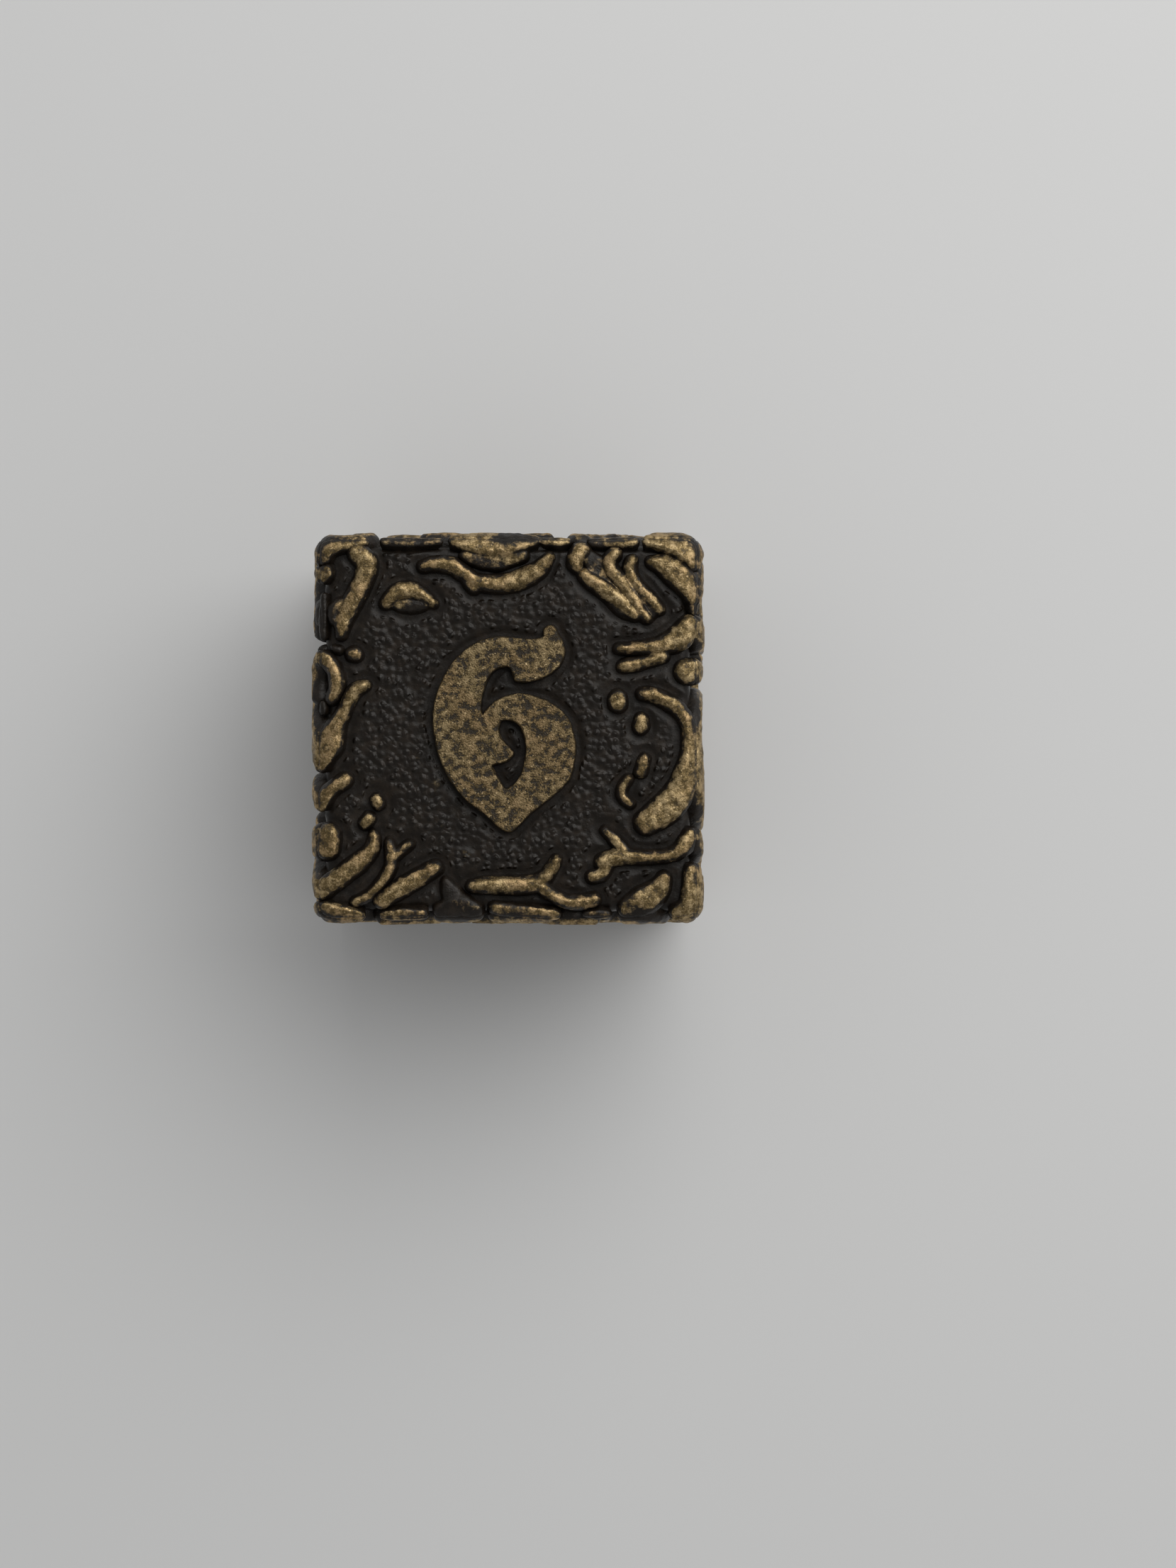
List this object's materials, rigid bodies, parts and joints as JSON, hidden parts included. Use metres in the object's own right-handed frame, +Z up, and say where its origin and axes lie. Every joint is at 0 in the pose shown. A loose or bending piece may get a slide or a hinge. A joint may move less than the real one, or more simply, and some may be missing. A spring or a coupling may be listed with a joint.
{
  "type": "six-sided polyhedral die",
  "caption": "Cast metal gaming cube with raised blackletter numerals, one to a face, inside borders of raised scrollwork that run over its rounded edges.",
  "frame": {"origin": "the die's centre, which is the centre of its bounding box", "axes": "+Z up out of the six, +Y towards the top of that numeral (out of the five), +X out of the four; the two faces -Y, the three -X and the one -Z"},
  "size_m": [0.016, 0.016, 0.016],
  "materials": {
    "core": "antique brass plate, dark stippled ground",
    "numerals": "antique brass plate, rubbed bright on the flat tops, finely pitted",
    "scrolls": "antique brass plate, rubbed bright on the crests and dark on the flanks"
  },
  "bodies": {
    "root": {"core_casting": "core", "numeral_1": "numerals", "numeral_2": "numerals", "numeral_3": "numerals", "numeral_4": "numerals", "numeral_5": "numerals", "numeral_6": "numerals", "scroll_1_beside_2": "scrolls", "scroll_1_beside_3": "scrolls", "scroll_1_beside_4": "scrolls", "scroll_1_beside_5": "scrolls", "scroll_2_beside_1": "scrolls", "scroll_2_beside_3": "scrolls", "scroll_2_beside_4": "scrolls", "scroll_2_beside_6": "scrolls", "scroll_3_beside_1": "scrolls", "scroll_3_beside_2": "scrolls", "scroll_3_beside_5": "scrolls", "scroll_3_beside_6": "scrolls", "scroll_4_beside_1": "scrolls", "scroll_4_beside_2": "scrolls", "scroll_4_beside_5": "scrolls", "scroll_4_beside_6": "scrolls", "scroll_5_beside_1": "scrolls", "scroll_5_beside_3": "scrolls", "scroll_5_beside_4": "scrolls", "scroll_5_beside_6": "scrolls", "scroll_6_beside_2": "scrolls", "scroll_6_beside_3": "scrolls", "scroll_6_beside_4": "scrolls", "scroll_6_beside_5": "scrolls"}
  },
  "joints": []
}
